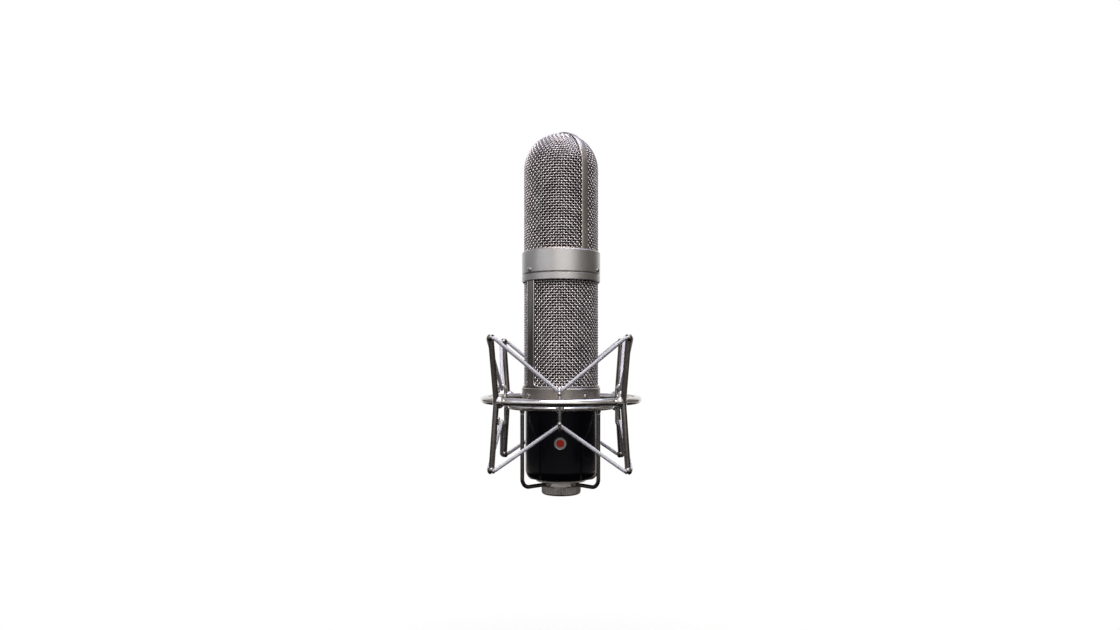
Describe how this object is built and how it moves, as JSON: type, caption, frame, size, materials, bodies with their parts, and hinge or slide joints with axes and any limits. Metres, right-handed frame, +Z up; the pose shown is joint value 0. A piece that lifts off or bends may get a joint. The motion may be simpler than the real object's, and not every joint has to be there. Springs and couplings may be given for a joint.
{
  "type": "stereo ribbon microphone",
  "caption": "Tall stereo ribbon microphone with two woven grilles, one above the other, hung by elastic cords in a tilting cradle mount.",
  "frame": {"origin": "centre of the stand socket's mouth, on its thread axis", "axes": "+Z up along the microphone; the front looks along -Y; +X to the right seen from the front"},
  "size_m": [0.1123, 0.1381, 0.2521],
  "materials": {
    "dark_nickel": "satin plated rod",
    "bright_nickel": "bright plated rod",
    "elastic_cord": "braided elastic",
    "black_lacquer": "gloss black lacquer",
    "enamel": "plain enamel",
    "satin_nickel": "satin nickel plate",
    "woven_wire": "woven nickel wire",
    "dark_gauze": "fine dark gauze",
    "screw_steel": "bright screws",
    "knurled_nickel": "knurled satin nickel",
    "stand_metal": "dark satin plating",
    "deck_alloy": "machined",
    "pole_steel": "machined",
    "magnet": "ground",
    "ribbon_foil": "corrugated foil",
    "insulator": "moulded",
    "pin_brass": "gold plated",
    "transformer_can": "drawn can",
    "lead_sleeve": "sleeved wire"
  },
  "bodies": {
    "stand": {"stand_socket": "stand_metal"},
    "tilt_clamp": {"tilt_screw": "knurled_nickel"},
    "outer_frame": {"ring_bracket": "stand_metal", "outer_ring": "bright_nickel", "outer_arm_front_left": "dark_nickel", "outer_arm_front_right": "dark_nickel", "outer_arm_back_left": "dark_nickel", "outer_arm_back_right": "dark_nickel", "elastic_cord_top": "elastic_cord", "elastic_cord_bottom": "elastic_cord"},
    "microphone": {"cradle_hub": "bright_nickel", "cradle_ring": "bright_nickel", "cradle_wire_front_left": "dark_nickel", "cradle_wire_front_right": "dark_nickel", "cradle_wire_back_left": "dark_nickel", "cradle_wire_back_right": "dark_nickel", "hook_post_front": "bright_nickel", "hook_post_right": "bright_nickel", "hook_post_back": "bright_nickel", "hook_post_left": "bright_nickel", "base_plate": "satin_nickel", "base_screws": "screw_steel", "connector_insert": "insulator", "connector_pins": "pin_brass", "body_shell": "black_lacquer", "front_medallion": "enamel", "lower_collar": "satin_nickel", "lower_collar_screws": "screw_steel", "lower_deck": "deck_alloy", "transformer_left": "transformer_can", "transformer_right": "transformer_can", "transformer_clamp": "deck_alloy", "transformer_bolts": "screw_steel", "lower_frame": "satin_nickel", "lower_mesh_front": "woven_wire", "lower_mesh_back": "woven_wire", "lower_gauze": "dark_gauze", "middle_ring": "satin_nickel", "middle_deck": "deck_alloy", "middle_collar": "satin_nickel", "middle_collar_screws": "screw_steel", "upper_frame": "satin_nickel", "upper_mesh_left": "woven_wire", "upper_mesh_right": "woven_wire", "upper_gauze": "dark_gauze", "lower_pole_frame": "pole_steel", "lower_magnets": "magnet", "lower_ribbon": "ribbon_foil", "lower_ribbon_clamps": "insulator", "lower_standoffs": "screw_steel", "upper_pole_frame": "pole_steel", "upper_magnets": "magnet", "upper_ribbon": "ribbon_foil", "upper_ribbon_clamps": "insulator", "upper_standoffs": "screw_steel", "ribbon_leads": "lead_sleeve", "output_leads": "lead_sleeve"},
    "nut": {"ring_nut": "knurled_nickel"}
  },
  "joints": [
    {"name": "tilt", "type": "hinge", "parent": "stand", "child": "outer_frame", "pos_m": [0, 0, 0.038], "axis": [1, 0, 0], "range_deg": [-60, 20]},
    {"name": "tilt_knob_turn", "type": "hinge", "parent": "stand", "child": "tilt_clamp", "pos_m": [0, 0, 0.038], "axis": [1, 0, 0], "range_deg": [-360, 0]},
    {"name": "suspension", "type": "slide", "parent": "outer_frame", "child": "microphone", "axis": [0, 0, 1], "range_m": [-0.004, 0.004], "stiffness_N_per_m": 2500, "springref_m": 0.00337, "deforming": ["elastic_cord_top", "elastic_cord_bottom"]},
    {"name": "ring_nut_turn", "type": "hinge", "parent": "microphone", "child": "nut", "pos_m": [0, -0.07, -0.028], "axis": [0, 0, 1], "continuous": true}
  ]
}
